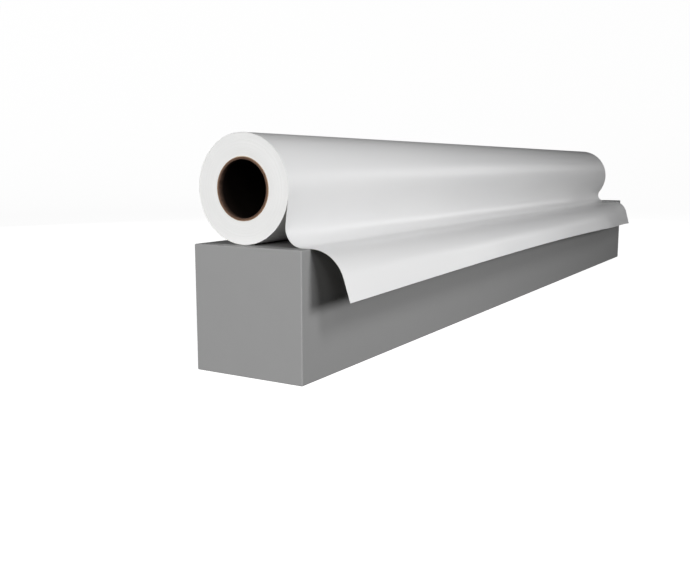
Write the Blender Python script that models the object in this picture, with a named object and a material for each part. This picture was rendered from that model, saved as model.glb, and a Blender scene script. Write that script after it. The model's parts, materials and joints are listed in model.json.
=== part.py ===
"""A roll of self-adhesive sign vinyl on a cardboard core, with its loose end over an edge.

The roll lies along X. The web leaves it on the -Y side, touches down on the surface that
carries the roll, and droops over that surface's edge. Z is up, and the origin is at the
middle of the flat on which the roll rests. Sizes are in metres.

The web is two plies all the way: the vinyl film, on the outside of the roll, and the
release liner behind it. Every piece is a prism along X, drawn as layers of one spine, the
outer face of the film.
"""
import math

import bpy
import numpy as np

# Driving dimensions
WEB_WIDTH = 1.626
ROLL_DIAMETER = 0.1443          # across flats, over the outer turn
CORE_BORE = 0.0762              # across flats, a 3 inch core
CORE_WALL = 0.0033
CORE_PLY = 0.0005               # the papers that face the core inside and outside
CORE_PROUD = 0.0006             # how far the core stands out of each end of the pack
PLY = 0.0003                    # drawn thickness of the film and of the liner
GAP = 0.0003                    # left between pieces that touch
RUNNING_GAP = 0.00045           # between the outer turn and the pack that turns in it
FACETS = 72                     # a flat lies exactly underneath

# The start of the web, held to the core by a strip of double-sided tape
TAPE_WIDTH = 0.024
TAPE_THICK = 0.0003
TAPE_STEPS = 6                  # flats across the tape's width
NOTCH_MARGIN = 0.003            # the pack's notch over the tape is this much wider each side

# The loose end, as the spine runs: off the roll, down, round, along, over the edge, down
LEAVE_ANGLE = math.radians(7.5)     # below the level of the core's axis
DROP_LENGTH = 0.0350
REST_LENGTH = 0.0220
CREST_RADIUS = 0.0540
CREST_SPLIT = math.radians(56.0)    # heading at the line where the crest bends
HANG_HEADING = math.radians(22.0)   # of the last straight stretch, from straight down
HANG_LENGTH = 0.0020                # of it, down to the strip that peels
LEAD_LENGTH = 0.0200                # the strip of film that peels off the liner
ARC_STEP = math.radians(6.0)
TAIL_GAP = 0.0005                   # between one piece of the web and the next along it
TURN_START = math.radians(30.0)     # of the outer turn, left open under the leaving web

SHARP_ANGLE = math.radians(30.0)    # edges sharper than this are shaded as edges
EMPTY_SIZE = 0.05

RADIUS = ROLL_DIAMETER / 2
AXIS_Z = RADIUS
FILM_OUT = 0.0
FILM_IN = FILM_OUT - PLY
LINER_OUT = FILM_IN - GAP
LINER_IN = LINER_OUT - PLY
PACK_RADIUS = RADIUS + LINER_IN - RUNNING_GAP
CORE_RADIUS = CORE_BORE / 2 + CORE_WALL

COLOURS = {
    "film": ((0.86, 0.87, 0.87), 0.32),
    "liner": ((0.80, 0.80, 0.77), 0.55),
    "pack": ((0.83, 0.83, 0.82), 0.60),
    "kraft": ((0.36, 0.22, 0.13), 0.80),
    "core_face": ((0.47, 0.31, 0.19), 0.72),
    "tape": ((0.82, 0.74, 0.52), 0.45),
}


def clear_scene():
    for old in list(bpy.data.objects):
        bpy.data.objects.remove(old, do_unlink=True)


def material(name):
    colour, roughness = COLOURS[name]
    found = bpy.data.materials.get(name)
    if found:
        return found
    made = bpy.data.materials.new(name)
    made.use_nodes = True
    shader = made.node_tree.nodes["Principled BSDF"]
    shader.inputs["Base Color"].default_value = (*colour, 1.0)
    shader.inputs["Roughness"].default_value = roughness
    shader.inputs["Metallic"].default_value = 0.0
    return made


def add_object(name, verts, faces, colour, parent=None, origin=(0.0, 0.0, 0.0)):
    """A mesh given in world coordinates, with its origin at the point given."""
    base = np.array(origin)
    mesh = bpy.data.meshes.new(name)
    mesh.from_pydata([tuple(np.array(v) - base) for v in verts], [], faces)
    mesh.materials.append(material(colour))
    mesh.validate()
    mesh.shade_smooth()
    mesh.set_sharp_from_angle(angle=SHARP_ANGLE)
    made = bpy.data.objects.new(name, mesh)
    bpy.context.scene.collection.objects.link(made)
    if parent is None:
        made.location = origin
    else:
        made.parent = parent
        made.location = base - np.array(parent.location)
    return made


def add_empty(name, location):
    made = bpy.data.objects.new(name, None)
    made.empty_display_size = EMPTY_SIZE
    made.location = location
    bpy.context.scene.collection.objects.link(made)
    return made


def circle_points(radius, count=FACETS):
    """Corners, as (y, z), of a regular polygon with the given distance to its flats."""
    corner = radius / math.cos(math.pi / count)
    angles = [math.pi * (2 * i + 1) / count for i in range(count)]
    return [(corner * math.sin(a), AXIS_Z - corner * math.cos(a)) for a in angles]


def band(name, outer, inner, length, colour, closed, **placing):
    """The prism between two polylines in the YZ plane, closed as a ring or cut at both ends."""
    count = len(outer)
    half = length / 2
    rings = [(-half, outer), (half, outer), (half, inner), (-half, inner)]
    verts = [(x, y, z) for x, points in rings for y, z in points]
    faces = []
    for i in range(count if closed else count - 1):
        j = (i + 1) % count
        for ring in range(4):
            a = ring * count
            b = ((ring + 1) % 4) * count
            faces.append((a + i, a + j, b + j, b + i))
    if not closed:
        faces.append(tuple(ring * count for ring in range(4)))
        faces.append(tuple(ring * count + count - 1 for ring in (3, 2, 1, 0)))
    return add_object(name, verts, outward(verts, faces), colour, **placing)


def outward(verts, faces):
    """The faces, all turned over if together they enclose a negative volume."""
    points = np.array(verts)
    volume = 0.0
    for face in faces:
        for k in range(1, len(face) - 1):
            a, b, c = points[face[0]], points[face[k]], points[face[k + 1]]
            volume += np.dot(a, np.cross(b, c))
    return faces if volume > 0 else [tuple(reversed(face)) for face in faces]


def offset(spine, distance):
    """The polyline parallel to the spine, which runs with its outer side on its right."""
    points = np.array(spine)
    runs = points[1:] - points[:-1]
    runs /= np.linalg.norm(runs, axis=1)[:, None]
    normals = np.column_stack((runs[:, 1], -runs[:, 0]))
    before = np.vstack((normals[:1], normals))
    after = np.vstack((normals, normals[-1:]))
    mitre = (before + after) / (1.0 + (before * after).sum(axis=1))[:, None]
    return [tuple(p) for p in points + distance * mitre]


class Spine:
    """The outer face of the film, in the YZ plane, drawn run by run from where it stands.

    The heading is 0 straight down and a right angle away from the roll, towards -Y.
    """

    def __init__(self, y, z, heading):
        self.y = y
        self.z = z
        self.heading = heading
        self.points = [(y, z)]

    def direction(self):
        return -math.sin(self.heading), -math.cos(self.heading)

    def line(self, length):
        dy, dz = self.direction()
        self.y += dy * length
        self.z += dz * length
        self.points.append((self.y, self.z))

    def arc(self, radius, heading):
        """Turn to the heading on a circle, with a point at each step of the angle."""
        steps = max(2, round(abs(heading - self.heading) / ARC_STEP))
        turn = (heading - self.heading) / steps
        chord = 2 * radius * math.sin(abs(turn) / 2)
        for _ in range(steps):
            self.heading += turn / 2
            self.line(chord)
            self.heading += turn / 2

    def split(self):
        """End this stretch here, and start the next past the gap between two pieces."""
        stretch = self.points
        hinge = (self.y, self.z)
        dy, dz = self.direction()
        half = TAIL_GAP / 2
        stretch[-1] = (self.y - dy * half, self.z - dz * half)
        self.points = [(self.y + dy * half, self.z + dz * half)]
        return stretch, hinge


def outer_turn_points():
    """The spine round the roll, from the notch under the leaving web to the leaving line."""
    leave = math.pi + LEAVE_ANGLE
    corner = RADIUS / math.cos(math.pi / FACETS)
    step = 2 * math.pi / FACETS
    first = round(TURN_START / step)
    points = []
    for i in range(first, FACETS + 1):
        angle = leave + (i - FACETS) * step
        points.append((corner * math.cos(angle), AXIS_Z + corner * math.sin(angle)))
    return points


def build_core(parent):
    length = WEB_WIDTH + 2 * CORE_PROUD
    origin = (0.0, 0.0, AXIS_Z)
    bore = CORE_BORE / 2
    layers = (
        ("core_inner_ply", bore, bore + CORE_PLY, "kraft"),
        ("core_body", bore + CORE_PLY + GAP, CORE_RADIUS - CORE_PLY - GAP, "core_face"),
        ("core_outer_ply", CORE_RADIUS - CORE_PLY, CORE_RADIUS, "kraft"),
    )
    for name, inside, outside, colour in layers:
        band(name, circle_points(outside), circle_points(inside), length, colour,
             closed=True, parent=parent, origin=origin)


def build_start_tape(parent):
    """A strip of tape on top of the core, in the notch that the first turns leave over it."""
    low = AXIS_Z + CORE_RADIUS / math.cos(math.pi / FACETS) + GAP
    half = TAPE_WIDTH / 2
    ys = [half - TAPE_WIDTH * i / TAPE_STEPS for i in range(TAPE_STEPS + 1)]
    under = [(y, low - (CORE_RADIUS - math.sqrt(CORE_RADIUS ** 2 - y ** 2))) for y in ys]
    over = [(y, z + TAPE_THICK) for y, z in under]
    band("start_tape", over, under, WEB_WIDTH, "tape", closed=False,
         parent=parent, origin=(0.0, 0.0, AXIS_Z))


def build_pack(parent):
    """All the inner turns of the web as one body, with the step of the tape in its bore."""
    outer = circle_points(PACK_RADIUS)
    bore = circle_points(CORE_RADIUS + GAP)
    raised = TAPE_THICK + GAP
    notch = TAPE_WIDTH / 2 + NOTCH_MARGIN
    inner = []
    for y, z in bore:
        over_tape = z > AXIS_Z and abs(y) < notch
        inner.append((y, z + raised) if over_tape else (y, z))
    band("wound_vinyl", outer, inner, WEB_WIDTH, "pack", closed=True,
         parent=parent, origin=(0.0, 0.0, AXIS_Z))


def build_ply(name, spine, outside, inside, colour, **placing):
    band(name, offset(spine, outside), offset(spine, inside), WEB_WIDTH, colour,
         closed=False, **placing)


def hinge_empty(name, line, ahead):
    """An empty on the middle of the film's thickness, at the line between two stretches."""
    run = np.array(ahead[1]) - np.array(ahead[0])
    run /= np.linalg.norm(run)
    middle = (FILM_OUT + FILM_IN) / 2
    return add_empty(name, (0.0, line[0] + run[1] * middle, line[1] - run[0] * middle))


def build_web():
    """The outer turn and the loose end: five stretches of film, four of liner.

    The trough's radius brings the liner down onto the surface on which the roll rests.
    """
    turn = outer_turn_points()
    spine = Spine(*turn[-1], heading=-LEAVE_ANGLE)
    spine.points = turn
    outer_turn, leaving = spine.split()

    spine.line(DROP_LENGTH)
    trough_radius = (spine.z + LINER_IN) / (1 + math.sin(LEAVE_ANGLE))
    spine.arc(trough_radius, math.pi / 2)
    spine.line(REST_LENGTH / 2)
    drop, trough = spine.split()

    spine.line(REST_LENGTH / 2)
    spine.arc(CREST_RADIUS, CREST_SPLIT)
    crest, edge = spine.split()

    spine.arc(CREST_RADIUS, HANG_HEADING)
    spine.line(HANG_LENGTH)
    hang, peel = spine.split()
    spine.line(LEAD_LENGTH)
    lead = spine.points

    build_ply("outer_turn_film", outer_turn, FILM_OUT, FILM_IN, "film")
    build_ply("outer_turn_liner", outer_turn, LINER_OUT, LINER_IN, "liner")

    web_swing = hinge_empty("web_swing", leaving, drop)
    crest_lift = hinge_empty("crest_lift", trough, crest)
    end_swing = hinge_empty("end_swing", edge, hang)
    film_peel = hinge_empty("film_peel", peel, lead)
    pieces = (
        ("drop", drop, drop, web_swing),
        ("crest", crest, crest, crest_lift),
        ("hanging", hang, hang + lead[1:], end_swing),
        ("leading", lead, None, film_peel),
    )
    for name, film, liner, joint in pieces:
        placing = {"parent": joint, "origin": tuple(joint.location)}
        build_ply(name + "_film", film, FILM_OUT, FILM_IN, "film", **placing)
        if liner:
            build_ply(name + "_liner", liner, LINER_OUT, LINER_IN, "liner", **placing)


def build():
    clear_scene()
    axle = add_empty("roll_turn", (0.0, 0.0, AXIS_Z))
    build_core(axle)
    build_start_tape(axle)
    build_pack(axle)
    build_web()


build()
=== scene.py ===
"""Looks of a roll of sign vinyl: one long satin web, its wound pack, and its paper core.

The web is modelled once, as one surface that runs round the roll and out over the loose end, and
is then cut into strips; the two strips round the roll ride on the frame's outer turn. Lengths
along the web are measured from the leaving line, where it comes off the roll: below 0 on the
roll, above 0 on the loose end.
The roll lies along X. The loose end leaves it towards -Y.
"""
import json
import math

import bpy
import numpy as np
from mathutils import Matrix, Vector


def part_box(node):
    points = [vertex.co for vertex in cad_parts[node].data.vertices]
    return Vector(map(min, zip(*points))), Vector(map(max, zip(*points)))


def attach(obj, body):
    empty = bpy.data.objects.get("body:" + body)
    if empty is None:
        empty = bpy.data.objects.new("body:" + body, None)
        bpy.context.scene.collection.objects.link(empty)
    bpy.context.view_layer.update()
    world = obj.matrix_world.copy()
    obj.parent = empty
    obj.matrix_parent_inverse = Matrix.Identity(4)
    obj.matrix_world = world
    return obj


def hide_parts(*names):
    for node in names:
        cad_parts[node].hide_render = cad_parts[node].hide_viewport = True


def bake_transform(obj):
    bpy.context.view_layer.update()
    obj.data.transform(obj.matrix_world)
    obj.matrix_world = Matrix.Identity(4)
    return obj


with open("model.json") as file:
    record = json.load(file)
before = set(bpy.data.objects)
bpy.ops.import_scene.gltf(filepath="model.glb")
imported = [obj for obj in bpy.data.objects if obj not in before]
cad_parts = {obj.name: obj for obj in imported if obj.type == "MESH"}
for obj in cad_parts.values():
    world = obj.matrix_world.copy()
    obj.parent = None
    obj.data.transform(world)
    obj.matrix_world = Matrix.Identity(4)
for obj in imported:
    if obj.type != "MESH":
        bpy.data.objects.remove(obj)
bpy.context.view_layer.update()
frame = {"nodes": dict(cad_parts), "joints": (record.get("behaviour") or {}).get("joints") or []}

MM = 0.001

# ---------------------------------------------------------------- what the frame says
JOINTS = {joint["name"]: joint for joint in frame["joints"]}
turn_low, turn_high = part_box("outer_turn_film")
core_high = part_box("core_outer_ply")[1]

ROLL_RADIUS = (turn_high.z - turn_low.z) / 2
AXIS_Z = JOINTS["roll_turn"]["pos_m"][2]
HALF_WEB = turn_high.x
HALF_CORE = core_high.x
CORE_RADIUS = core_high.y
LINING_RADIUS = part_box("core_inner_ply")[1].y
BOARD_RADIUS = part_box("core_body")[1].y
LEAVE_POINT = JOINTS["web_swing"]["pos_m"]
LEAVE_ANGLE = math.atan2(AXIS_Z - LEAVE_POINT[2], -LEAVE_POINT[1])   # below level, from the axis

# ---------------------------------------------------------------- the web
FILM = 0.10 * MM
LINER = 0.14 * MM
WEB = FILM + LINER
PLY_CLEARANCE = 0.004 * MM      # between the film and the liner
PACK_CLEARANCE = 0.10 * MM      # between the pack and the liner round it
PACK_RADIUS = ROLL_RADIUS - WEB - PACK_CLEARANCE

LOOSE = 183.4 * MM              # of web, from the leaving line to the cut end
TURN_GAP = math.radians(52)     # between the outer turn's start and the leaving line
RING = -ROLL_RADIUS * (2 * math.pi - TURN_GAP)
SKEW = 0.038                    # how much longer the loose end is at the far corner of its cut

COLUMNS = 180                   # along the roll
RING_STEP = 3.6 * MM            # between rows on the roll
TAIL_STEP = 1.6 * MM            # between rows on the loose end
FINE = 0.25 * MM                # step at which the headings are summed up
EASE = 9 * MM                   # length over which one stretch turns into the next
CLING_FROM = 0.78               # part of the way along the roll

# The loose end's course: its value at the near end, what mid-length adds, what the far end adds.
# The web stands off furthest at mid-length, and clings to the roll at the far end.
LEAVE_SHIFT = (0, 0, 27)        # degrees further round the roll at which the web leaves it
DROP = (35, 0, -30)             # mm straight down off the roll
REST = (13.9, 11, 12)           # mm level on the support
CREST_RADIUS = (49.4, 5.5, -9)  # mm, where the web bends over the support's edge
HANG = (17.9, 6, -2.5)          # degrees from straight down at the cut end


def smoothstep(value):
    value = np.clip(value, 0.0, 1.0)
    return value * value * (3 - 2 * value)


def clinging(u):
    """0 over most of the roll, rising to 1 at its far end."""
    return float(smoothstep((u - CLING_FROM) / (1 - CLING_FROM)))


def course_value(values, u):
    """One of the course's values at a place along the roll, from 0 to 1."""
    near, middle, far = values
    return near + middle * math.sin(math.pi * u) + far * clinging(u)


def stretches(u):
    """(length along the web, heading) at each change of course, for one place along the roll.

    u runs from 0 at the near end to 1 at the far end. The heading is 0 straight down and a
    right angle away from the roll.
    """
    leave = LEAVE_ANGLE + math.radians(course_value(LEAVE_SHIFT, u))
    drop = course_value(DROP, u) * MM
    rest = course_value(REST, u) * MM
    crest_radius = course_value(CREST_RADIUS, u) * MM
    hang = math.radians(course_value(HANG, u))
    drop_end_z = AXIS_Z - ROLL_RADIUS * math.sin(leave) - drop * math.cos(leave)
    trough_radius = (drop_end_z - WEB) / (1 + math.sin(leave))
    at = ROLL_RADIUS * (leave - LEAVE_ANGLE)
    course = [(at, -leave)]
    for length, heading in (
        (drop, -leave),
        (trough_radius * (leave + math.pi / 2), math.pi / 2),
        (rest, math.pi / 2),
        (crest_radius * (math.pi / 2 - hang), hang),
    ):
        at += length
        course.append((at, heading))
    return course


def on_roll(length):
    """Place (y, z) on the roll at a length along the web, or at an array of them."""
    angle = math.pi + LEAVE_ANGLE + length / ROLL_RADIUS
    return ROLL_RADIUS * np.cos(angle), AXIS_Z + ROLL_RADIUS * np.sin(angle)


def eased(values, width):
    """Smooths a run of values with a window, keeping its slope at both ends."""
    window = np.hanning(width)
    window /= window.sum()
    padded = np.pad(values, width, mode="reflect", reflect_type="odd")
    return np.convolve(padded, window, mode="same")[width:-width]


def profile(u, lengths):
    """Places (y, z) of the web at the given lengths along it, for one place along the roll.

    The headings are summed up from a quarter turn before the leaving line. What comes before
    that lies on the roll.
    """
    ats, headings = zip(*stretches(u))
    start = -math.pi / 2 * ROLL_RADIUS
    fine = np.arange(start, LOOSE * (1 + SKEW) + FINE, FINE)
    heading = np.interp(fine, ats, headings)
    before = fine < ats[0]
    heading[before] = -LEAVE_ANGLE - fine[before] / ROLL_RADIUS
    heading = eased(heading, int(EASE / FINE))
    middle = (heading[1:] + heading[:-1]) / 2
    first_y, first_z = on_roll(start)
    y = np.concatenate(([0.0], np.cumsum(-np.sin(middle)) * FINE)) + first_y
    z = np.concatenate(([0.0], np.cumsum(-np.cos(middle)) * FINE)) + first_z

    # Easing the bends moves the level stretch a little, so it is brought back to the support
    down, level_from, level_to = ats[0], ats[2], ats[3]
    error = np.interp((level_from + level_to) / 2, fine, z) - WEB
    z -= error * smoothstep((fine - down) / (level_from - down))

    ys = np.interp(lengths, fine, y)
    zs = np.interp(lengths, fine, z)
    round_roll = lengths < start
    ys[round_roll], zs[round_roll] = on_roll(lengths[round_roll])
    return ys, zs


# Waves along the roll: seed, how many are added up, shortest and longest wavelength in metres
BANDS = (3, 9, 0.05, 0.30)
RIPPLE = (8, 5, 0.20, 0.60)
FLUTTER = (21, 4, 0.10, 0.26)
BAND_HEIGHT = 0.07 * MM         # round the roll
RIPPLE_HEIGHT = 1.1 * MM        # at the cut end
FLUTTER_HEIGHT = 0.35 * MM      # at the cut end
DROP_HEIGHT = 0.5 * MM          # where the web drops off the roll
FREE_FROM = 115 * MM            # where the loose end comes clear of the support
FREE_OVER = 68 * MM             # length over which it then comes to its full waves
DROP_WAVES = (20 * MM, 35 * MM, 65 * MM)   # full by the first length, fading between the others


def waves(x, seed, count, shortest, longest):
    """A smooth irregular line along the roll, from -1 to 1 or so."""
    draw = np.random.default_rng(seed)
    total = np.zeros_like(x)
    for _ in range(count):
        wavelength = draw.uniform(shortest, longest)
        total += draw.uniform(0.5, 1.0) * np.sin(2 * math.pi * (x / wavelength + draw.random()))
    return total / count


def unevenness(lengths, across):
    """How far the web stands out of its smooth course, for each row and column."""
    bands, ripple, flutter = (waves(across, *kind)[None, :] for kind in (BANDS, RIPPLE, FLUTTER))
    loose = np.clip(lengths / LOOSE, 0, 1)[:, None]
    free = smoothstep((lengths - FREE_FROM) / FREE_OVER)[:, None]
    full, fading, gone = DROP_WAVES
    drop = smoothstep(lengths / full) * smoothstep((gone - lengths) / (gone - fading))
    return (
        BAND_HEIGHT * bands * (1 - loose)
        + free * (RIPPLE_HEIGHT * ripple + FLUTTER_HEIGHT * flutter * loose)
        + drop[:, None] * DROP_HEIGHT * ripple[:, ::-1]
    )


def web_surface():
    """The outside of the whole web: lengths of its rows, places and outward normals."""
    ring_rows = np.linspace(RING, 0, int(-RING / RING_STEP))[:-1]
    tail_rows = np.linspace(0, LOOSE, int(LOOSE / TAIL_STEP))
    lengths = np.concatenate((ring_rows, tail_rows))
    across = np.linspace(-HALF_WEB, HALF_WEB, COLUMNS)
    places = np.zeros((len(lengths), COLUMNS, 3))
    for column, x in enumerate(across):
        u = (x + HALF_WEB) / (2 * HALF_WEB)
        stretch = np.where(lengths > 0, 1 + SKEW * clinging(u), 1.0)
        ys, zs = profile(u, lengths * stretch)
        places[:, column] = np.column_stack((np.full_like(ys, x), ys, zs))
    places += unevenness(lengths, across)[..., None] * surface_normals(places)
    return lengths, places, surface_normals(places)


def surface_normals(places):
    """Unit normals of a grid of places on the web, on the side away from the roll's axis."""
    normals = np.cross(np.gradient(places, axis=0), np.gradient(places, axis=1))
    normals /= np.linalg.norm(normals, axis=2)[..., None]
    row, column = len(places) // 4, COLUMNS // 2
    _, y, z = places[row, column]
    outwards = np.dot(normals[row, column], (0.0, y, z - AXIS_Z)) > 0
    return normals if outwards else -normals


LENGTHS, PLACES, NORMALS = web_surface()


def link_new(name, data):
    made = bpy.data.objects.new(name, data)
    bpy.context.scene.collection.objects.link(made)
    return made


def new_object(name, mesh, material):
    mesh.materials.append(material)
    return link_new(name, mesh)


def mesh_from(name, verts, faces, smooth=True):
    mesh = bpy.data.meshes.new(name)
    mesh.from_pydata(np.asarray(verts, float).tolist(), [], faces)
    mesh.validate()
    if smooth:
        mesh.shade_smooth()
    return mesh


def ply(name, start, end, outside, inside, material):
    """A closed strip of one ply of the web, between two lengths along it.

    outside and inside say how far its two sides lie out of the web's surface. Its normals are
    those of the whole web, so that no seam shows between two strips.
    """
    first = int(np.abs(LENGTHS - start).argmin())
    last = int(np.abs(LENGTHS - end).argmin())
    places = PLACES[first:last + 1]
    normals = NORMALS[first:last + 1]
    sides = (places + outside * normals, places + inside * normals)
    verts = np.concatenate([side.reshape(-1, 3) for side in sides])

    rows, columns = places.shape[:2]
    count = rows * columns
    index = np.arange(count).reshape(rows, columns)
    a, b = index[:-1, :-1].ravel(), index[1:, :-1].ravel()
    c, d = index[1:, 1:].ravel(), index[:-1, 1:].ravel()
    sheet = np.column_stack((a, b, c, d))
    rim = np.concatenate((index[:, 0], index[-1, 1:], index[-2::-1, -1], index[0, -2:0:-1]))
    after = np.roll(rim, -1)
    edge = np.column_stack((after, rim, rim + count, after + count))
    faces = np.concatenate((sheet, sheet[:, ::-1] + count, edge))
    facing = np.cross(verts[b[0]] - verts[a[0]], verts[d[0]] - verts[a[0]])
    if np.dot(facing, normals[0, 0]) < 0:
        faces = faces[:, ::-1]
    mesh = mesh_from(name, verts, faces.tolist())

    flat_normals = normals.reshape(-1, 3)
    corner_normals = np.concatenate((flat_normals, -flat_normals))[faces.ravel()]
    corners = verts[faces[-len(edge):]]
    edge_normals = np.cross(corners[:, 1] - corners[:, 0], corners[:, 3] - corners[:, 0])
    edge_normals /= np.maximum(np.linalg.norm(edge_normals, axis=1), 1e-12)[:, None]
    corner_normals[-4 * len(edge):] = np.repeat(edge_normals, 4, axis=0)
    mesh.normals_split_custom_set(corner_normals.tolist())
    return new_object(name, mesh, material)


# ---------------------------------------------------------------- materials
# Bump distances are in metres, and a noise's scale is in cells a metre.
def shader_material(name, colour, roughness):
    """A new material, with its nodes, links and shader, and the object's own coordinates."""
    made = bpy.data.materials.new(name)
    made.use_nodes = True
    nodes, links = made.node_tree.nodes, made.node_tree.links
    shader = nodes["Principled BSDF"]
    shader.inputs["Base Color"].default_value = (*colour, 1.0)
    shader.inputs["Roughness"].default_value = roughness
    place = nodes.new("ShaderNodeTexCoord")
    return made, nodes, links, shader, place.outputs["Object"]


def arithmetic(nodes, links, operation, *values):
    """A math node on sockets and plain numbers."""
    made = nodes.new("ShaderNodeMath")
    made.operation = operation
    for socket, value in zip(made.inputs, values):
        if isinstance(value, bpy.types.NodeSocket):
            links.new(value, socket)
        else:
            socket.default_value = value
    return made.outputs["Value"]


def painted_over(nodes, links, amount, under, colour):
    """One colour laid over another where the amount is 1."""
    mix = nodes.new("ShaderNodeMix")
    mix.data_type = "RGBA"
    links.new(amount, mix.inputs["Factor"])
    links.new(under, mix.inputs["A"])
    mix.inputs["B"].default_value = (*colour, 1.0)
    return mix.outputs["Result"]


def mapped(nodes, links, source, scale):
    """Coordinates times a scale on each axis, for a noise with that many cells a metre."""
    mapping = nodes.new("ShaderNodeMapping")
    mapping.inputs["Scale"].default_value = scale
    links.new(source, mapping.inputs["Vector"])
    return mapping.outputs["Vector"]


def noise(nodes, links, vector, scale, detail=3.0, roughness=0.5):
    texture = nodes.new("ShaderNodeTexNoise")
    texture.inputs["Scale"].default_value = scale
    texture.inputs["Detail"].default_value = detail
    texture.inputs["Roughness"].default_value = roughness
    links.new(vector, texture.inputs["Vector"])
    return texture.outputs["Fac"]


def ramp(nodes, links, factor, stops):
    """A colour ramp through (position, colour) stops."""
    made = nodes.new("ShaderNodeValToRGB")
    elements = made.color_ramp.elements
    while len(elements) < len(stops):
        elements.new(0.5)
    for element, (position, colour) in zip(elements, stops):
        element.position = position
        element.color = (*colour, 1.0)
    links.new(factor, made.inputs["Fac"])
    return made.outputs["Color"]


def spread(nodes, links, factor, low, high, from_low=0.3, from_high=0.7):
    """Maps a range of a factor, by default the middle of a noise's, onto low to high."""
    made = nodes.new("ShaderNodeMapRange")
    made.inputs["From Min"].default_value = from_low
    made.inputs["From Max"].default_value = from_high
    made.inputs["To Min"].default_value = low
    made.inputs["To Max"].default_value = high
    links.new(factor, made.inputs["Value"])
    return made.outputs["Result"]


def bump(nodes, links, heights, shader):
    """Bump nodes in a row, one for each (height, distance)."""
    previous = None
    for height, distance in heights:
        made = nodes.new("ShaderNodeBump")
        made.inputs["Strength"].default_value = 1.0
        made.inputs["Distance"].default_value = distance
        links.new(height, made.inputs["Height"])
        if previous:
            links.new(previous, made.inputs["Normal"])
        previous = made.outputs["Normal"]
    links.new(previous, shader.inputs["Normal"])


def film_material():
    """Satin white vinyl: a fine grain, faint streaks along the roll, and an uneven sheen.

    Its roughness stays above 0.28: a smoother film is denoised without its sheen, in patches.
    """
    made, nodes, links, shader, place = shader_material("satin_film", (0.88, 0.88, 0.88), 0.32)
    cloudy = noise(nodes, links, mapped(nodes, links, place, (1.6, 12, 12)), 1.0, 2.0, 0.45)
    streaks = noise(nodes, links, mapped(nodes, links, place, (3, 110, 110)), 1.0, 2.0, 0.4)
    grain = noise(nodes, links, place, 1500.0, 2.0)
    tone = ramp(nodes, links, cloudy, [
        (0.3, (0.862, 0.864, 0.868)),
        (0.7, (0.893, 0.893, 0.893)),
    ])
    links.new(tone, shader.inputs["Base Color"])
    links.new(spread(nodes, links, streaks, 0.285, 0.36), shader.inputs["Roughness"])
    bump(nodes, links, [(cloudy, 0.0006), (grain, 0.000003)], shader)
    return made


def liner_material():
    """Glassine-faced release paper: a warmer white, with a cloudy fibre pattern and less sheen."""
    made, nodes, links, shader, place = shader_material("release_liner", (0.80, 0.79, 0.75), 0.5)
    clouds = noise(nodes, links, place, 120.0, 5.0, 0.65)
    fibres = noise(nodes, links, mapped(nodes, links, place, (900, 300, 300)), 1.0, 3.0)
    tone = ramp(nodes, links, clouds, [(0.3, (0.77, 0.76, 0.71)), (0.7, (0.83, 0.82, 0.78))])
    links.new(tone, shader.inputs["Base Color"])
    links.new(spread(nodes, links, clouds, 0.42, 0.58), shader.inputs["Roughness"])
    bump(nodes, links, [(fibres, 0.00003)], shader)
    return made


def radial(nodes, links, place):
    """Distance from the roll's axis, place along it, and place across it."""
    parts = nodes.new("ShaderNodeSeparateXYZ")
    links.new(place, parts.inputs["Vector"])
    level = arithmetic(nodes, links, "SUBTRACT", parts.outputs["Z"], AXIS_Z)
    flat = nodes.new("ShaderNodeCombineXYZ")
    links.new(parts.outputs["Y"], flat.inputs["X"])
    links.new(level, flat.inputs["Y"])
    length = nodes.new("ShaderNodeVectorMath")
    length.operation = "LENGTH"
    links.new(flat.outputs["Vector"], length.inputs[0])
    return length.outputs["Value"], parts.outputs["X"], flat.outputs["Vector"]


def wound_material():
    """The cut edges of the film and liner: white rings whose tone drifts from turn to turn."""
    made, nodes, links, shader, place = shader_material("cut_edges", (0.85, 0.85, 0.84), 0.6)
    distance, _, flat = radial(nodes, links, place)
    along = nodes.new("ShaderNodeCombineXYZ")
    links.new(distance, along.inputs["X"])
    layers = mapped(nodes, links, along.outputs["Vector"], (1100, 1, 1))
    turns = noise(nodes, links, layers, 1.0, 3.0, 0.6)
    smear = noise(nodes, links, flat, 45.0, 3.0)
    tone = ramp(nodes, links, turns, [
        (0.30, (0.79, 0.79, 0.775)),
        (0.55, (0.865, 0.865, 0.86)),
        (0.75, (0.885, 0.885, 0.88)),
    ])
    links.new(tone, shader.inputs["Base Color"])
    links.new(spread(nodes, links, smear, 0.5, 0.66), shader.inputs["Roughness"])
    bump(nodes, links, [(turns, 0.00006), (smear, 0.0003)], shader)
    return made


SEAM_PITCH = 150 * MM           # of the helical joints in a spiral-wound tube's facing papers
SEAM_HALF_WIDTH = (0.003, 0.006)    # in parts of a pitch: fully dark, and gone
SEAM_SHADE = 0.45
MOUTH_LIGHT_DEPTH = 9 * MM             # how far painted light reaches into the core's lining from each mouth


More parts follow.
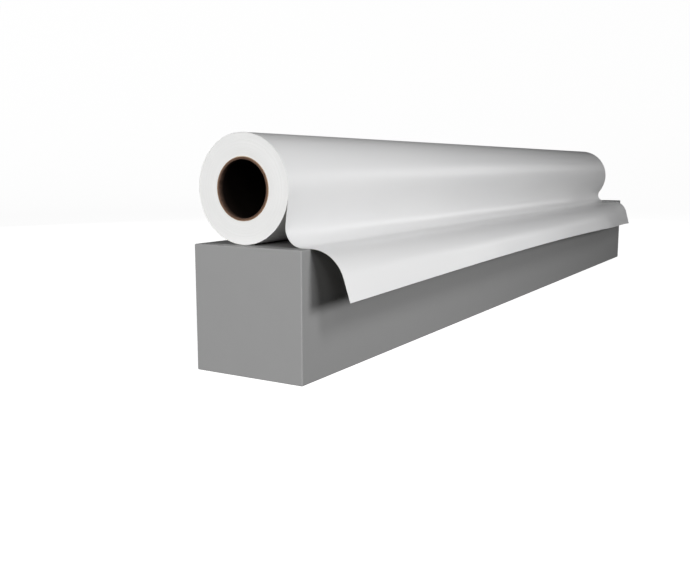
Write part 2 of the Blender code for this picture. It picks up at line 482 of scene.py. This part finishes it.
def paper_material(name, dark, light, seams=False):
    """Recycled brown paper, fibred and mottled, with or without a spiral-wound tube's joints."""
    made, nodes, links, shader, place = shader_material(name, light, 0.8)
    mottle = noise(nodes, links, place, 70.0, 6.0, 0.7)
    fibres = noise(nodes, links, mapped(nodes, links, place, (240, 1100, 1100)), 1.0, 4.0, 0.6)
    both = arithmetic(nodes, links, "ADD", mottle, fibres)
    half = arithmetic(nodes, links, "MULTIPLY", both, 0.5)
    tone = ramp(nodes, links, half, [(0.35, dark), (0.68, light)])
    heights = [(fibres, 0.00008)]
    if seams:
        groove = helix(nodes, links, place, SEAM_PITCH)
        shade = tuple(channel * SEAM_SHADE for channel in dark)
        tone = painted_over(nodes, links, groove, tone, shade)
        heights.append((arithmetic(nodes, links, "SUBTRACT", 1.0, groove), 0.0003))
    links.new(tone, shader.inputs["Base Color"])
    links.new(spread(nodes, links, mottle, 0.72, 0.88), shader.inputs["Roughness"])
    bump(nodes, links, heights, shader)
    return made


def helix(nodes, links, place, pitch):
    """1 in the narrow joint between two turns of a spiral-wound ply, and 0 elsewhere."""
    _, x, flat = radial(nodes, links, place)
    parts = nodes.new("ShaderNodeSeparateXYZ")
    links.new(flat, parts.inputs["Vector"])
    angle = arithmetic(nodes, links, "ARCTAN2", parts.outputs["Y"], parts.outputs["X"])
    laps = arithmetic(nodes, links, "MULTIPLY", x, 1 / pitch)
    turn = arithmetic(nodes, links, "MULTIPLY_ADD", angle, 1 / (2 * math.pi), laps)
    from_joint = arithmetic(nodes, links, "PINGPONG", turn, 0.5)
    return spread(nodes, links, from_joint, 1.0, 0.0, *SEAM_HALF_WIDTH)


def paint_mouth_light(made, lit_paper):
    """Lightens a core's lining near its two mouths: painted light, where light reaches into the
    bore.
    """
    nodes, links = made.node_tree.nodes, made.node_tree.links
    shader = nodes["Principled BSDF"]
    shader.inputs["Specular IOR Level"].default_value = 0.15
    place = nodes.new("ShaderNodeTexCoord").outputs["Object"]
    _, x, _ = radial(nodes, links, place)
    from_middle = arithmetic(nodes, links, "ABSOLUTE", x)
    near_mouth = spread(nodes, links, from_middle, 0.0, 1.0, HALF_CORE - MOUTH_LIGHT_DEPTH, HALF_CORE)
    ragged = noise(nodes, links, mapped(nodes, links, place, (40, 160, 160)), 1.0, 5.0, 0.6)
    amount = arithmetic(nodes, links, "MULTIPLY", near_mouth, spread(nodes, links, ragged, 0.6, 1.2))
    amount.node.use_clamp = True
    paper = shader.inputs["Base Color"].links[0].from_socket
    links.new(painted_over(nodes, links, amount, paper, lit_paper), shader.inputs["Base Color"])


def tape_material():
    """Tissue tape: yellowish, with its tissue showing through."""
    made, nodes, links, shader, place = shader_material("tissue_tape", (0.82, 0.74, 0.52), 0.4)
    tissue = noise(nodes, links, mapped(nodes, links, place, (500, 1600, 1600)), 1.0, 4.0)
    tone = ramp(nodes, links, tissue, [(0.3, (0.76, 0.67, 0.45)), (0.7, (0.86, 0.79, 0.58))])
    links.new(tone, shader.inputs["Base Color"])
    bump(nodes, links, [(tissue, 0.00004)], shader)
    return made


FILM_LOOK = film_material()
LINER_LOOK = liner_material()
WOUND_LOOK = wound_material()
# The lining's near-black tone is painted shade deep in the bore
SHADED_LINING_LOOK = paper_material("core_lining", (0.006, 0.0035, 0.0025), (0.011, 0.006, 0.004), True)
BOARD_LOOK = paper_material("core_board", (0.10, 0.055, 0.036), (0.20, 0.115, 0.075))
WRAP_LOOK = paper_material("core_wrap", (0.30, 0.18, 0.10), (0.42, 0.27, 0.16), True)
TAPE_LOOK = tape_material()
# Painted light on the lining near both mouths, in a lit paper brown
paint_mouth_light(SHADED_LINING_LOOK, (0.17, 0.105, 0.078))


# ---------------------------------------------------------------- the web's strips
def loose_to(piece, joint, heading, before, after):
    """Bakes a strip's place into its mesh; the joint, heading and the lengths before and after are
    not used.
    """
    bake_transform(piece)


# Lengths along the web at which its strips meet, clear of every bend at a joint
BACK = -ROLL_RADIUS * math.pi   # half a turn back from the leaving line
FRONT_END = 22 * MM
CREST_END = 104 * MM
LIP_START = 151 * MM

# Each bend: the joint, the web's heading there, and the lengths of web before and after its axis.
# The first starts on its axis, because a bend that began on the roll would push the web into it.
SWING_BEND = ("web_swing", -LEAVE_ANGLE, 0, 15 * MM)
CREST_BEND = ("crest_lift", math.pi / 2, 1 * MM, 17 * MM)
HANG_BEND = ("end_swing", math.radians(56), 6 * MM, 18 * MM)
PEEL_BEND = ("film_peel", math.radians(22), 0, 7 * MM)

# Name, from and to along the web, bend, CAD node it stands for, how it is held, what it rests on
FILM_STRIPS = (
    ("film_under", RING, BACK, None, "outer_turn_film", "stretched", "liner_under"),
    ("film_front", BACK, FRONT_END, SWING_BEND, "drop_film", "stretched", "liner_front"),
    ("film_crest", FRONT_END, CREST_END, CREST_BEND, "crest_film", "draped", "liner_crest"),
    ("film_hang", CREST_END, LIP_START, HANG_BEND, "hanging_film", "draped", "liner_hang"),
    ("film_lip", LIP_START, LOOSE, PEEL_BEND, "leading_film", "draped", "liner_hang"),
)
LINER_STRIPS = (
    ("liner_under", RING, BACK, None, "outer_turn_liner", "stretched", "wound_pack"),
    ("liner_front", BACK, FRONT_END, SWING_BEND, "drop_liner", "stretched", "wound_pack"),
    ("liner_crest", FRONT_END, CREST_END, CREST_BEND, "crest_liner", "draped", "liner_front"),
    ("liner_hang", CREST_END, LOOSE, HANG_BEND, "hanging_liner", "draped", "liner_crest"),
)


def build_strips():
    """The film's strips and the liner's; those round the roll ride on the outer turn, the rest on
    no body.
    """
    for strips, outside, inside, look, slot in (
        (FILM_STRIPS, 0.0, -FILM, FILM_LOOK, "film"),
        (LINER_STRIPS, -FILM - PLY_CLEARANCE, -WEB, LINER_LOOK, "liner"),
    ):
        for name, start, end, bend, node, held, rests_on in strips:
            piece = ply(name, start, end, outside, inside, look)
            if bend:
                loose_to(piece, *bend)
            else:
                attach(piece, "outer_turn")
            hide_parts(node)


# ---------------------------------------------------------------- the pack and the core
TUBE_SEGMENTS = 192
TUBE_SHARP = math.radians(35)

TURNS = 31                      # ridges on each end, each a few layers of the wound web
RIDGE = (0.0, 0.12, 0.5, 0.88)  # places across a ridge, in parts of its width
GROOVE = 0.05 * MM              # depth between two ridges
PACK_SEGMENTS = 240
PACK_SHARP = math.radians(40)
BORE_CLEARANCE = 0.05 * MM      # between the core and the pack wound on it
SPIRAL_MARGIN = 0.05 * MM       # between the pack's bore and the start of the spiral
END_INSET = 0.22 * MM           # of the pack's ends from the cut edges of the outer turn
RELIEF_SEED = 31
RIDGE_SPREAD = 0.055 * MM       # in how far one ridge and the next stand out
RIDGE_DRIFT = 0.16 * MM         # and its slow drift from the bore to the outside
DRIFT_SPAN = 7.5                # radians of that drift, one more or less from end to end
DRIFT_SHIFT = 0.7               # radians between its start at the two ends and the middle

CORE_WALL = 3.3 * MM
CORE_GAP = 0.02 * MM            # on each side of a joint between two of the tube's papers
CORE_RELIEF = 0.12 * MM         # how deep the plies' ends are set back between each other
CORE_ROUNDING = 0.06 * MM


def around(x, radius, lap):
    """The place at x and a radius from the roll's axis, some part of a lap on from the top."""
    angle = 2 * math.pi * lap
    return x, radius * math.sin(angle), AXIS_Z + radius * math.cos(angle)


def turned(name, outline, material):
    """A closed ring turned about the roll's axis, from an outline of (x, radius) points."""
    count = len(outline)
    verts, faces = [], []
    for i in range(TUBE_SEGMENTS):
        verts.extend(around(x, radius, i / TUBE_SEGMENTS) for x, radius in outline)
        j = (i + 1) % TUBE_SEGMENTS
        for k in range(count):
            m = (k + 1) % count
            faces.append((i * count + k, j * count + k, j * count + m, i * count + m))
    mesh = mesh_from(name, verts, faces)
    area = sum(a[0] * b[1] - b[0] * a[1] for a, b in zip(outline, outline[1:] + outline[:1]))
    if area < 0:
        mesh.flip_normals()
    mesh.set_sharp_from_angle(angle=TUBE_SHARP)
    return new_object(name, mesh, material)


def end_relief(turn, side):
    """How far each ridge stands out of the pack's end: the web never winds up quite even."""
    draw = np.random.default_rng(RELIEF_SEED + side)
    steps = draw.normal(0, RIDGE_SPREAD, TURNS + 2)
    phases = np.linspace(0, DRIFT_SPAN + side, TURNS + 2) + DRIFT_SHIFT * side
    drift = RIDGE_DRIFT * np.sin(phases)
    return float(np.interp(turn, np.arange(TURNS + 2), steps + drift))


def spiral_end(side, inner, outer):
    """Places on one end of the pack, in rows from the bore outwards that climb one ridge a lap."""
    width = (outer - inner) / (TURNS + 1)
    rows = []
    for row in range(TURNS * len(RIDGE) + 1):
        turn, part = divmod(row, len(RIDGE))
        depth = END_INSET + (GROOVE if part == 0 else 0.0)
        line = []
        for step in range(PACK_SEGMENTS):
            lap = step / PACK_SEGMENTS
            radius = inner + width * (turn + RIDGE[part] + lap)
            out = HALF_WEB - depth + end_relief(turn + lap, side)
            line.append(around(out * side, radius, lap))
        rows.append(line)
    return rows


def spiral_faces():
    """Faces between one end's rows: a row's last place is followed by the first, a lap on."""
    across, lap_on = PACK_SEGMENTS, len(RIDGE)
    last_row = TURNS * lap_on
    faces = []
    for row in range(last_row):
        low, high = row * across, (row + 1) * across
        for step in range(across - 1):
            faces.append((low + step, low + step + 1, high + step + 1, high + step))
        if row + 1 + lap_on <= last_row:
            end = across - 1
            faces.append((low + end, low + lap_on * across, high + lap_on * across, high + end))
    return faces


def rim_faces(bore_ring, skin_ring):
    """Faces from one end's spiral to the rings round it, with the step that the spiral leaves."""
    across, lap_on = PACK_SEGMENTS, len(RIDGE)
    last_row = TURNS * lap_on
    top = last_row * across
    end = across - 1
    faces = []
    for step in range(end):
        faces.append((bore_ring + step, bore_ring + step + 1, step + 1, step))
        faces.append((top + step, top + step + 1, skin_ring + step + 1, skin_ring + step))
    first_step = [row * across for row in range(lap_on + 1)]
    last_step = [row * across + end for row in range(last_row, last_row - lap_on - 1, -1)]
    faces.append((bore_ring + end, bore_ring, *first_step, end))
    faces.append((skin_ring, skin_ring + end, *last_step, top))
    return faces


def build_pack():
    """The inner turns: both spiral ends, joined by the bore and by the outer surface."""
    bore = CORE_RADIUS + BORE_CLEARANCE
    across = PACK_SEGMENTS
    verts, faces, rings = [], [], []
    for side in (-1, 1):
        base = len(verts)
        rows = spiral_end(side, bore + SPIRAL_MARGIN, PACK_RADIUS)
        places = [place for row in rows for place in row]
        bore_ring = len(places)
        skin_ring = bore_ring + across
        for radius in (bore, PACK_RADIUS):
            places.extend(around(places[0][0], radius, step / across) for step in range(across))
        for face in spiral_faces() + rim_faces(bore_ring, skin_ring):
            face = tuple(base + corner for corner in face)
            faces.append(face if side > 0 else face[::-1])
        verts.extend(places)
        rings.append((base + bore_ring, base + skin_ring))
    (near_bore, near_skin), (far_bore, far_skin) = rings
    for step in range(across):
        after = (step + 1) % across
        faces.append((near_skin + step, far_skin + step, far_skin + after, near_skin + after))
        faces.append((near_bore + step, near_bore + after, far_bore + after, far_bore + step))
    mesh = mesh_from("wound_pack", verts, faces)
    mesh.set_sharp_from_angle(angle=PACK_SHARP)
    pack = new_object("wound_pack", mesh, WOUND_LOOK)
    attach(pack, "wound_roll")
    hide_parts("wound_vinyl")


def tube_outline(inner, outer, ridges):
    """(x, radius) points round a tube wall, with the ends of its plies as shallow ridges."""
    points = []
    for side in (1, -1):
        start, stop = (inner, outer) if side > 0 else (outer, inner)
        inwards = CORE_ROUNDING if side > 0 else -CORE_ROUNDING
        radii = np.linspace(start + inwards, stop - inwards, 2 * ridges + 1)
        points.append((side * (HALF_CORE - CORE_ROUNDING), start))
        for i, radius in enumerate(radii):
            depth = CORE_RELIEF if i % 2 else 0.0
            points.append((side * (HALF_CORE - depth), radius))
        points.append((side * (HALF_CORE - CORE_ROUNDING), stop))
    return points


def build_core():
    """The paper tube: its facing paper inside, its board, and its facing paper outside."""
    bore = CORE_RADIUS - CORE_WALL
    # Name, inner and outer radius, ridges on its ends, CAD node it stands for, slot, material
    for name, inner, outer, ridges, node, slot, look in (
        ("core_lining", bore, LINING_RADIUS - CORE_GAP, 1,
         "core_inner_ply", "core_kraft", SHADED_LINING_LOOK),
        ("core_board", LINING_RADIUS + CORE_GAP, BOARD_RADIUS - CORE_GAP, 5,
         "core_body", "core_board", BOARD_LOOK),
        ("core_wrap", BOARD_RADIUS + CORE_GAP, CORE_RADIUS, 1,
         "core_outer_ply", "core_kraft", WRAP_LOOK),
    ):
        piece = turned(name, tube_outline(inner, outer, ridges), look)
        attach(piece, "wound_roll")
        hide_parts(node)


def build_tape():
    """The tape between the core and the pack is the CAD's own piece, with a material of its own."""
    tape = frame["nodes"]["start_tape"]
    tape.data.materials.clear()
    tape.data.materials.append(TAPE_LOOK)


build_strips()
build_pack()
build_core()
build_tape()


# ---------------------------------------------------------------- the stage
ROLL_DIAMETER = 2 * ROLL_RADIUS
NEAR_END = Vector((-HALF_WEB, 0.0, 0.0))

PLINTH_HEIGHT = 1.18 * ROLL_DIAMETER
PLINTH_FRONT = -104 * MM        # under the loose end, where it starts to droop
PLINTH_BACK = 66 * MM
PLINTH_NEAR = 20 * MM           # how far it runs past the near end of the roll
PLINTH_FAR = 66 * MM
PLINTH_GAP = 0.15 * MM          # between its top and the roll
PLINTH_EDGE = 1.5 * MM

FLOOR_RADIUS = 6.0
WALL_CURVE = 2.5
WALL_TOP = 5.0
FLOOR_RINGS = 4                 # across the floor's level part
CURVE_RINGS = 16
FLOOR_SEGMENTS = 96
FLOOR_GLOW = 0.94               # keeps the floor pale right up the wall


def stage_material(name, colour, roughness):
    """A plain matt surface whose tone drifts by a hair."""
    made, nodes, links, shader, place = shader_material(name, colour, roughness)
    speck = noise(nodes, links, place, 30.0, 4.0)
    low = tuple(channel * 0.985 for channel in colour)
    tone = ramp(nodes, links, speck, [(0.3, low), (0.7, colour)])
    links.new(tone, shader.inputs["Base Color"])
    shader.inputs["Specular IOR Level"].default_value = 0.1
    return made


def floor_outline():
    """(radius, height) points from the floor's middle to the top of the wall."""
    level = FLOOR_RADIUS - WALL_CURVE
    outline = [(level * ring / FLOOR_RINGS, 0.0) for ring in range(FLOOR_RINGS + 1)]
    for ring in range(1, CURVE_RINGS + 1):
        angle = math.pi / 2 * ring / CURVE_RINGS
        outline.append((level + WALL_CURVE * math.sin(angle), WALL_CURVE * (1 - math.cos(angle))))
    outline.append((FLOOR_RADIUS, WALL_TOP))
    return outline


def build_floor():
    """A round studio floor whose rim curves up into a wall, the same from every side."""
    outline = floor_outline()
    verts = [(0.0, 0.0, -PLINTH_HEIGHT)]
    for step in range(FLOOR_SEGMENTS):
        angle = 2 * math.pi * step / FLOOR_SEGMENTS
        for radius, height in outline[1:]:
            x, y = radius * math.cos(angle), radius * math.sin(angle)
            verts.append((x, y, height - PLINTH_HEIGHT))
    rings = len(outline) - 1
    faces = []
    for step in range(FLOOR_SEGMENTS):
        here = 1 + step * rings
        after = 1 + (step + 1) % FLOOR_SEGMENTS * rings
        faces.append((0, here, after))
        for k in range(rings - 1):
            faces.append((here + k, here + k + 1, after + k + 1, after + k))
    look = stage_material("studio_floor", (0.50, 0.50, 0.50), 0.9)
    shader = look.node_tree.nodes["Principled BSDF"]
    shader.inputs["Emission Color"].default_value = (1.0, 1.0, 1.0, 1.0)
    shader.inputs["Emission Strength"].default_value = FLOOR_GLOW
    floor = new_object("studio_floor", mesh_from("studio_floor", verts, faces), look)
    floor.visible_diffuse = False
    floor.visible_glossy = False


def build_plinth():
    """A plain block for the roll to lie on and the loose end to droop over."""
    low = (-HALF_WEB - PLINTH_NEAR, PLINTH_FRONT, -PLINTH_HEIGHT)
    high = (HALF_WEB + PLINTH_FAR, PLINTH_BACK, -PLINTH_GAP)
    xs, ys, zs = zip(low, high)
    corners = [(x, y, z) for x in xs for y in ys for z in zs]
    faces = [(0, 1, 3, 2), (4, 6, 7, 5), (0, 4, 5, 1), (2, 3, 7, 6), (0, 2, 6, 4), (1, 5, 7, 3)]
    mesh = mesh_from("plinth", corners, faces, smooth=False)
    plinth = new_object("plinth", mesh, stage_material("plinth", (0.33, 0.33, 0.33), 0.85))
    bevel = plinth.modifiers.new("edges", "BEVEL")
    bevel.width = PLINTH_EDGE
    bevel.segments = 4


# All aimed at the roll's axis a little inside its near end. Name, azimuth from +X and elevation in
# degrees, distance and size in metres, watts
LIGHTS_AIM = NEAR_END + Vector((60 * MM, 0.0, AXIS_Z))
SOFTBOXES = (
    ("end_box", 180, 5, 2.6, (0.8, 0.8), 53),
    ("quarter_box", 225, 20, 2.2, (0.5, 0.5), 3.8),
    ("high_box", 250, 35, 2.2, (0.5, 0.5), 11.5),
    ("side_box", -90, 12, 2.2, (0.5, 0.5), 23),
    ("far_side_box", -48, 9, 2.6, (0.5, 0.5), 3.2),
    ("far_strip", -22, 12, 4.6, (1.2, 0.8), 6),
    ("back_box", 75, 7, 2.8, (1.6, 0.4), 14),
    ("far_end_box", 14, -3.45, 3.475, (0.5, 0.12), 14),
)
WORLD_GLOW = 0.012


def direction(turn, rise):
    """Unit vector at an angle round from +X and an angle up from level."""
    level = math.cos(rise)
    return Vector((level * math.cos(turn), level * math.sin(turn), math.sin(rise)))


def area_light(name, place, size, power):
    data = bpy.data.lights.new(name, "AREA")
    data.shape = "RECTANGLE"
    data.size, data.size_y = size
    data.energy = power
    made = link_new(name, data)
    made.location = place
    made.rotation_euler = (LIGHTS_AIM - place).to_track_quat("-Z", "Y").to_euler()


def build_light():
    world = bpy.data.worlds.new("studio")
    bpy.context.scene.world = world
    world.use_nodes = True
    background = world.node_tree.nodes["Background"]
    background.inputs["Color"].default_value = (1.0, 1.0, 1.0, 1.0)
    background.inputs["Strength"].default_value = WORLD_GLOW
    for name, azimuth, elevation, distance, size, power in SOFTBOXES:
        way = direction(math.radians(azimuth), math.radians(elevation))
        area_light(name, LIGHTS_AIM + distance * way, size, power)


CAMERA_OFFSET = Vector((-5.7595, -4.5202, 0.6986))     # from the near end, in roll diameters
CAMERA_TURN = 0.5403            # radians round from +X
CAMERA_RISE = -0.1466           # radians up from level
CAMERA_LENS = 42.27             # mm, on a 36 mm wide sensor


def build_camera():
    """Off the near end, a little above it, with the roll running away to the right."""
    data = bpy.data.cameras.new("camera")
    data.sensor_width = 36.0
    data.lens = CAMERA_LENS
    data.clip_start = 0.02
    data.clip_end = 60.0
    camera = link_new("camera", data)
    camera.location = NEAR_END + ROLL_DIAMETER * CAMERA_OFFSET
    ahead = direction(CAMERA_TURN, CAMERA_RISE)
    camera.rotation_euler = ahead.to_track_quat("-Z", "Y").to_euler()
    bpy.context.scene.camera = camera


build_floor()
build_plinth()
build_light()
build_camera()
bpy.context.scene.view_settings.view_transform = "Standard"
